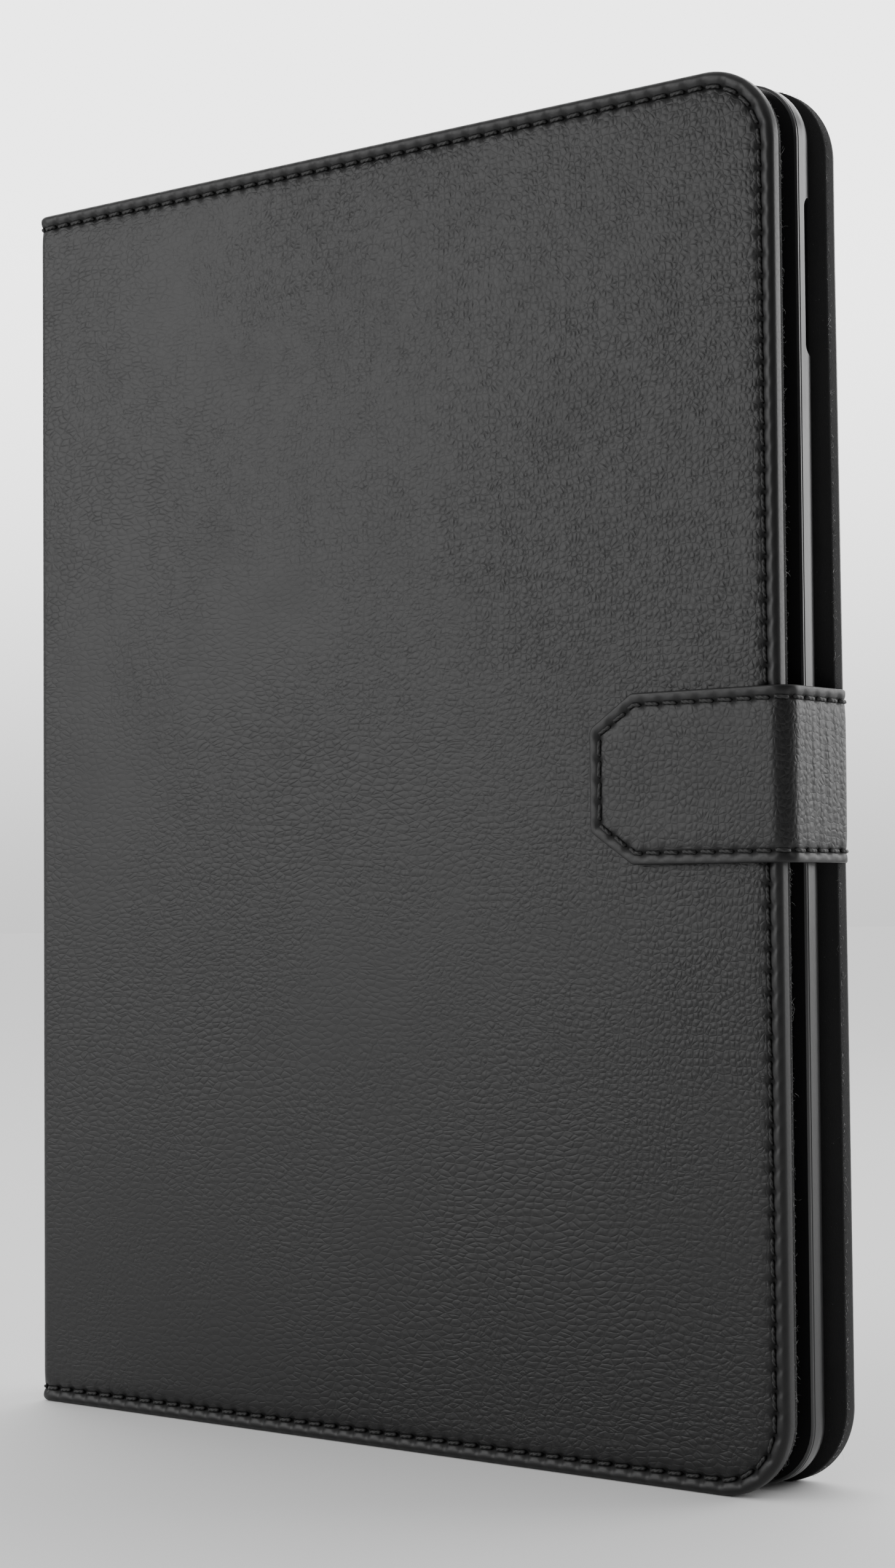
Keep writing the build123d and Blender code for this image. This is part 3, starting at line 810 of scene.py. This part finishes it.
def cut_round_hole(piece, centre, radius, low, high, lip):
    """Round hole through a piece from front to back, with a rounded lip where it meets the back face.

    The cutter is a circle swept along Y that widens through two thirds of a quarter round of radius
    lip, and then on at that slope. Edges that turn by more than 24 degrees are sharp."""
    around = np.linspace(0, 2 * math.pi, 73)[None, :]
    bend = np.linspace(0, math.pi / 3, 5)
    grow = lip * (1 - np.cos(bend))
    grow = np.concatenate([[0.0], grow, [grow[-1] + lip]])
    rim = high - lip * math.sin(bend[-1])
    y = np.concatenate([[low], rim + lip * np.sin(bend), [high + lip / math.sqrt(3)]])
    r = (radius + grow)[:, None]
    points = np.stack([
        centre[0] + r * np.cos(around), y[:, None] * np.ones_like(around),
        centre[1] + r * np.sin(around)], axis=-1)
    mesh = grid_mesh("cutter", points[None], SAME)
    face_outwards(mesh)
    cutter = bpy.data.objects.new("cutter", mesh)
    bpy.context.scene.collection.objects.link(cutter)
    cut = piece.modifiers.new("hole", "BOOLEAN")
    cut.operation, cut.solver, cut.object = "DIFFERENCE", "EXACT", cutter
    bpy.context.view_layer.update()
    done = bpy.data.meshes.new_from_object(piece.evaluated_get(bpy.context.evaluated_depsgraph_get()))
    piece.modifiers.remove(cut)
    old, piece.data = piece.data, done
    done.name = old.name
    bpy.data.meshes.remove(old)
    bpy.data.objects.remove(cutter)
    bpy.data.meshes.remove(mesh)
    done.set_sharp_from_angle(angle=math.radians(24))
    if len(done.polygons) < 100:
        raise RuntimeError(f"cutting the hole in {piece.name} left no mesh")


# ---------------------------------------------------------------- the case's own lines

def spine_to_edge(x, side, face, right, fold, depth_side):
    """Line from the middle of the spine at x, round the fold on to a cover's face, and out to its edge.

    side is 1 for the front cover and -1 for the back cover."""
    runs = [(abs(SPINE_MID - face) - fold, 0.0), (fold * math.pi / 2, side * math.pi / 2),
            (right - x - fold, 0.0)]
    return Path((x, SPINE_MID), -side * math.pi / 2, runs, depth_side)


def strap_path(settings):
    """Line of the strap's outer face: out of the back cover, round the side and over the front."""
    root, front = settings.root_bend, settings.front_bend
    runs = [(STRAP_SIDE - root - STRAP_START, 0.0), (root * math.pi / 2, -math.pi / 2),
            (STRAP_FACE - root - (TAB_LOW.y + front), 0.0), (front * math.pi / 2, -math.pi / 2),
            (STRAP_SIDE - front - TAB_LOW.x, 0.0)]
    return Path((STRAP_START, STRAP_FACE), 0.0, runs, -1)


def cover_rings(length, spacing, trim=0.0, extra=0.0):
    """Function from insets to the rows of a cover's outline, drawn in at its upper opening corner.

    The cover loses up to trim there: nothing at the bottom, all of it from seven eighths of the height,
    and between them the share of the way to the power 1.5. The loss falls off with the square of the
    length towards the spine."""
    def outline(inset):
        rows = cover_outline(length, HEIGHT, inset + extra, spacing)
        rise = np.clip((rows[..., 1] / HEIGHT - 0.1) / 0.77, 0, 1) ** 1.5
        rows[..., 0] -= trim * rise * np.clip(rows[..., 0] / length, 0, 1) ** 2
        return rows
    return outline


def cover_thickness(spine, fold, panel, start, stop):
    """Depth of a cover along its length: the spine's, thinner round the fold, and the panel's."""
    places = [0.0, start - 1.0 * MM, start, stop, stop + 2.0 * MM]
    return lambda u: np.interp(u, places, [spine, spine, fold, fold, panel])


# ---------------------------------------------------------------- operators

def build_cover(name, side, face, right, panel, trim, seed, holes, material, replaced):
    """Leather and thread of one cover and its half of the spine."""
    scene = bpy.context.scene
    leather, thread = scene.case_leather, scene.case_thread
    path = spine_to_edge(LEFT, side, face, right, leather.fold, side)
    start, stop = path.starts[1], path.starts[2]
    outline = cover_rings(path.total, thread.pitch / 8, trim)
    seam = thread.cover_inset

    def relief(u, z, inset, phase):
        calm = np.clip((inset - seam) / (8 * MM), 0, 1) * np.clip((u - stop) / (10 * MM), 0, 1)
        waves = slow_waves(u, z, *COVER_WAVE, seed) * calm
        return waves + sewn_relief(inset, phase, seam, thread.channel, leather.swell)

    thickness = cover_thickness(SPINE_THICK, FOLD_THICK, panel, start, stop)
    mesh = plate(
        name + "_leather", outline, path.total, HEIGHT, seam, thickness,
        (leather.edge_roll, BACK_ROLL), COVER_INSETS, np.linspace(0.07, 1, 15), relief)
    skin = add_piece(lay_along(mesh, path), material)
    for centre, radius, low, high in holes:
        cut_round_hole(skin, centre, radius, low, high, WINDOW_LIP)
    line = outline(np.array([seam]))[0]
    mesh = thread_along(name + "_stitches", line, thread, THREAD_SINK)
    sewing = add_piece(lay_along(mesh, path), thread_material(thread))
    for piece, nodes in zip((skin, sewing), replaced):
        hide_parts(*nodes)
        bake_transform(piece)


class CASE_OT_front_cover(bpy.types.Operator):
    """Grained leather and stitching of the front cover and the front half of the spine"""
    bl_idname = "folio.front_cover"
    bl_label = "Front cover"

    def execute(self, context):
        material = leather_material(context.scene.case_leather, "cover_leather")
        build_cover(
            "front_cover", 1, FRONT, RIGHT, FRONT_HIGH.y - FRONT, 0.0, 11, (), material,
            (("front_leather", "spine_leather"), ("front_stitching", "spine_stitching")))
        return {"FINISHED"}


class CASE_OT_back_cover(bpy.types.Operator):
    """Grained leather and stitching of the back cover, with its camera window"""
    bl_idname = "folio.back_cover"
    bl_label = "Back cover"

    def execute(self, context):
        material = leather_material(context.scene.case_leather, "back_cover_leather")
        hole = (WINDOW, WINDOW_R, BACK_LINING_LOW.y - MM, BACK)
        build_cover(
            "back_cover", -1, BACK, BACK_RIGHT, BACK - BACK_LOW.y, BACK_TRIM, 12, (hole,), material,
            (("back_leather", "spine_leather"), ("back_stitching", "spine_stitching")))
        return {"FINISHED"}


class CASE_OT_linings(bpy.types.Operator):
    """Microfibre linings of both covers, each with its half of the spine, and the fluff on their edges"""
    bl_idname = "folio.linings"
    bl_label = "Linings"

    def execute(self, context):
        lining = context.scene.case_lining
        nap, lint = lining_material(lining), fluff_material(lining)
        sides = (
            ("front_cover", 1, FRONT_LINING_FACE, RIGHT, 0.0, LINING_INSET, 0.0, 21),
            ("back_cover", -1, BACK_LINING_LOW.y, BACK_RIGHT, BACK_TRIM, -LINING_LAP, LINING_LIP, 22))
        for body, side, face, right, trim, extra, lip, seed in sides:
            node, under = body[:-5] + "lining", body[:-5] + "leather"
            path = spine_to_edge(SPINE_LINING_FACE, side, face, right, LINING_FOLD, -side)
            outline = cover_rings(path.total, 1.2 * MM, trim, extra)
            thickness = cover_thickness(
                LINING_SPINE, LINING_SPINE, LINING_PANEL, path.starts[1], path.starts[2])

            def relief(u, z, inset, phase):
                return slow_waves(u, z, *LINING_WAVE, seed) * np.clip(inset / (6 * MM), 0, 1)

            mesh = plate(
                body + "_lining", outline, path.total, HEIGHT, LINING_SMOOTH, thickness, LINING_ROLLS,
                LINING_INSETS, np.linspace(0.1, 1, 12), relief, lip=lip)
            piece = add_piece(lay_along(mesh, path), nap)
            if side < 0:
                low, high = BACK_LINING_LOW.y - MM, BACK_LINING_HIGH.y + MM
                cut_round_hole(piece, WINDOW, LINING_WINDOW_R, low, high, LINING_WINDOW_LIP)
            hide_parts(node, "spine_lining")
            line = outline(np.array([0.0]))[0]
            mesh = loose_fibres(body + "_fluff", line, lining, lining.fluff_count, seed)
            fluff = add_piece(lay_along(mesh, path), lint)
            for part in (piece, fluff):
                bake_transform(part)
        return {"FINISHED"}


class CASE_OT_strap(bpy.types.Operator):
    """Closing strap: leather, lining and stitching, in a root half and a tab half"""
    bl_idname = "folio.strap"
    bl_label = "Strap"

    def execute(self, context):
        scene = context.scene
        strap, leather, thread = scene.case_strap, scene.case_leather, scene.case_thread
        skin = leather_material(leather, "strap_leather", 0.7)
        nap, sewing = bpy.data.materials["microfibre"], thread_material(thread)
        path = strap_path(strap)
        height = TAB_HIGH.z - TAB_LOW.z
        seam = thread.strap_inset
        split = (path.starts[2] + path.starts[3]) / 2
        thick = TAB_BACK - TAB_LOW.y

        def rings(length, extra):
            return lambda inset: strap_outline(
                length, height, inset + extra, thread.pitch / 8, strap.clip_along, strap.clip_across,
                strap.corner)

        def relief(u, z, inset, phase):
            calm = np.clip((inset - seam) / (3 * MM), 0, 1)
            side = np.exp(-((u - split) / (7 * MM)) ** 2)
            crumple = slow_waves(u * 3.0, z * 0.4, *STRAP_CRUMPLE, 31) * side
            waves = slow_waves(u, z, *STRAP_WAVE, 32)
            return calm * (waves + crumple) + sewn_relief(
                inset, phase, seam, STRAP_CHANNEL * thread.channel, STRAP_SWELL * leather.swell)

        outer, inner = rings(path.total, 0.0), rings(path.total, STRAP_SETBACK)
        line = outer(np.array([seam]))[0]
        halves = (
            ("strap_root", 1, "back_cover", "strap_side", ("strap_side_leather",),
             ("strap_side_lining",), ("strap_side_stitching",)),
            ("strap_tab", -1, "strap_side", "strap_tab", ("strap_tab_leather",),
             ("strap_tab_lining",), ("strap_tab_stitching",)))
        for name, direction, near, far, leathers, linings, threads in halves:
            keep = ((split, direction),)
            top = plate(
                name + "_leather", outer, path.total, height, seam,
                lambda u: np.full_like(u, STRAP_SKIN), STRAP_ROLLS, STRAP_INSETS,
                np.linspace(0.12, 1, 9), relief, keep)
            under = plate(
                name + "_lining", inner, path.total, height, seam,
                lambda u: np.full_like(u, thick), STRAP_LINING_ROLLS, STRAP_LINING_INSETS,
                np.linspace(0.25, 1, 4), lambda u, z, inset, phase: np.full_like(u, STRAP_SKIN), keep)
            run = thread_along(name + "_stitches", line, thread, STRAP_THREAD_SINK, (split, direction))
            made = ((top, skin, "grained_leather", leathers), (under, nap, "microfibre", linings),
                    (run, sewing, "thread", threads))
            for mesh, material, slot, nodes in made:
                piece = add_piece(lay_along(mesh, path, TAB_LOW.z), material)
                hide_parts(*nodes)
                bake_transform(piece)
        return {"FINISHED"}


class CASE_OT_strap_box(bpy.types.Operator):
    """Box of stitches that holds the strap's tail in the back cover"""
    bl_idname = "folio.strap_box"
    bl_label = "Strap box stitches"

    def execute(self, context):
        thread = context.scene.case_thread
        low, high = BOX_LOW, BOX_HIGH
        half = thread.thickness / 2
        corners = np.array([
            [low.x + half, low.z + half], [high.x - half, low.z + half],
            [high.x - half, high.z - half], [low.x + half, high.z - half], [low.x + half, low.z + half]])
        length = length_along(corners)
        at = np.linspace(0, length[-1], 600)
        line = np.stack([np.interp(at, length, corners[:, k]) for k in (0, 1)], axis=1)
        path = Path((0.0, BACK), 0.0, [(RIGHT * 2, 0.0)], -1)
        mesh = thread_along("strap_tail_stitches", line, thread, BOX_THREAD_SINK)
        piece = add_piece(lay_along(mesh, path), thread_material(thread))
        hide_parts("strap_tail_stitching")
        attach(piece, "back_cover")
        return {"FINISHED"}


class CASE_OT_tray(bpy.types.Operator):
    """Finishes of the tray that holds the tablet, its rim and the pad that it is glued on with"""
    bl_idname = "folio.tray"
    bl_label = "Tray"

    def execute(self, context):
        black = (0.012, 0.012, 0.0125)
        finishes = {
            "tablet_tray": plastic_material("tray_satin", black, 0.30, 0.02 * MM),
            "tray_rim": plastic_material("rim_gloss", black, 0.16, 0.008 * MM),
            "tray_glue_pad": board_material("pad_foam", (0.30, 0.30, 0.29)),
        }
        for node, material in finishes.items():
            dress(node, material)
        return {"FINISHED"}


class CASE_OT_hidden_parts(bpy.types.Operator):
    """Finishes of the boards, magnets, catch plate, strap core and strap tail"""
    bl_idname = "folio.hidden_parts"
    bl_label = "Hidden parts"

    def execute(self, context):
        board = board_material("grey_board", (0.22, 0.20, 0.17))
        steel = steel_material()
        core = plastic_material("strap_core", (0.04, 0.04, 0.04), 0.5, 0.03 * MM)
        tail = leather_material(context.scene.case_leather, "tail_leather", 0.6, False)
        finishes = {
            "front_board": board, "back_board": board, "spine_board": board, "sleep_magnets": steel,
            "strap_catch_plate": steel, "strap_tab_magnets": steel, "strap_tab_core": core,
            "strap_tail": tail}
        for node, material in finishes.items():
            dress(node, material)
        return {"FINISHED"}


class CASE_OT_studio(bpy.types.Operator):
    """Pale floor, soft lights and the camera"""
    bl_idname = "folio.studio"
    bl_label = "Studio"

    def execute(self, context):
        studio = context.scene.case_studio
        context.scene.world = self.room_light(studio)
        self.add_floor(studio)
        self.add_softbox("front_softbox", studio.key, *FRONT_LIGHT)
        self.add_softbox("side_softbox", studio.side, *SIDE_LIGHT)
        self.add_camera(studio)
        return {"FINISHED"}

    def room_light(self, studio):
        """Light from all round: bright behind the case and above it, dark in front of its opening side.

        Seen directly, the room is as pale all round as it is behind the case."""
        g = Graph(bpy.data.worlds.new("room"), "Background")
        way = g.node("TexCoord")
        toward, behind, high = (
            g.node("VectorMath", {"operation": "DOT_PRODUCT"}, {0: way, 1: side}, out=1)
            for side in (DARK_SIDE, BRIGHT_SIDE, (0, 0, 1)))
        seen = g.node("LightPath")
        level = ROOM_LEVEL * (1.0 - ROOM_DIMMED * g.step(toward, 0.42, 0.88) * (1.0 - seen))
        rise = ROOM_HORIZON + ROOM_RISE * g.step(high, -0.02, 0.24)
        bright = g.math("MAXIMUM", g.step(behind, 0.55, 0.85), seen)
        level = level + rise * bright + ROOM_OVERHEAD * g.step(high, 0.1, 0.9)
        color = g.blend(level / ROOM_FULL, (0, 0, 0, 1), (1, 1, 1, 1))
        return g.finish(Color=color, Strength=ROOM_FULL * studio.world)

    def add_floor(self, studio):
        """Floor: rings about the middle, closer together near the case."""
        around = np.linspace(0, 2 * math.pi, 49)[None, :]
        reach = np.array([0.0, 0.1, 0.25, 0.6, 1.5, 4.0, 12.0])[:, None]
        points = np.stack([reach * np.cos(around), reach * np.sin(around), 0 * reach * around], axis=-1)
        mesh = grid_mesh("floor", points[None], SAME, close=False)
        floor = add_piece(mesh, floor_material(studio))

    def add_softbox(self, name, power, size, place):
        """Rectangular light that faces the middle of the case."""
        light = bpy.data.lights.new(name, "AREA")
        light.shape, light.size, light.size_y, light.energy = "RECTANGLE", size[0], size[1], power
        lamp = bpy.data.objects.new(name, light)
        lamp.location = place
        lamp.rotation_euler = (Vector((0, 0, HEIGHT / 2)) - Vector(place)).to_track_quat(
            "-Z", "Y").to_euler()
        bpy.context.scene.collection.objects.link(lamp)

    def add_camera(self, studio):
        """Camera at a bearing and height round its target, rolled about its own line of sight."""
        turn, rise, roll = (math.radians(a) for a in (CAMERA_TURN, CAMERA_RISE, CAMERA_ROLL))
        back = Vector((math.sin(turn) * math.cos(rise), -math.cos(turn) * math.cos(rise), math.sin(rise)))
        across = (-back).cross(Vector((0, 0, 1))).normalized()
        up = across.cross(-back)
        right = math.cos(roll) * across + math.sin(roll) * up
        above = math.cos(roll) * up - math.sin(roll) * across
        data = bpy.data.cameras.new("camera")
        data.sensor_width, data.lens = 36.0, studio.lens
        data.clip_start = 0.01
        camera = bpy.data.objects.new("camera", data)
        axes = Matrix((right, above, back)).transposed().to_4x4()
        camera.matrix_world = Matrix.Translation(CAMERA_TARGET + back * CAMERA_DISTANCE) @ axes
        bpy.context.scene.collection.objects.link(camera)
        bpy.context.scene.camera = camera


class CASE_PT_panel(bpy.types.Panel):
    """Lists the steps and sizes of the case"""
    bl_idname = "CASE_PT_panel"
    bl_label = "Folio case"
    bl_space_type = "VIEW_3D"
    bl_region_type = "UI"
    bl_category = "Folio Case"

    def draw(self, context):
        for key, group in SETTINGS.items():
            box = self.layout.box()
            settings = getattr(context.scene, key)
            for name in group.__annotations__:
                box.prop(settings, name)
        for step in STEPS:
            self.layout.operator(step.bl_idname)


SETTINGS = {
    "case_leather": CaseLeather, "case_thread": CaseThread, "case_lining": CaseLining,
    "case_strap": CaseStrap, "case_studio": CaseStudio}
STEPS = (
    CASE_OT_studio, CASE_OT_front_cover, CASE_OT_back_cover, CASE_OT_linings, CASE_OT_strap,
    CASE_OT_strap_box, CASE_OT_tray, CASE_OT_hidden_parts)


def register():
    for group in SETTINGS.values():
        bpy.utils.register_class(group)
    for key, group in SETTINGS.items():
        setattr(bpy.types.Scene, key, PointerProperty(type=group))
    for item in (*STEPS, CASE_PT_panel):
        bpy.utils.register_class(item)


def unregister():
    for item in (CASE_PT_panel, *reversed(STEPS)):
        bpy.utils.unregister_class(item)
    for key, group in SETTINGS.items():
        delattr(bpy.types.Scene, key)
        bpy.utils.unregister_class(group)


def main():
    register()
    bpy.ops.folio.studio()
    bpy.ops.folio.front_cover()
    bpy.ops.folio.back_cover()
    bpy.ops.folio.linings()
    bpy.ops.folio.strap()
    bpy.ops.folio.strap_box()
    bpy.ops.folio.tray()
    bpy.ops.folio.hidden_parts()


if __name__ == "__main__":
    main()
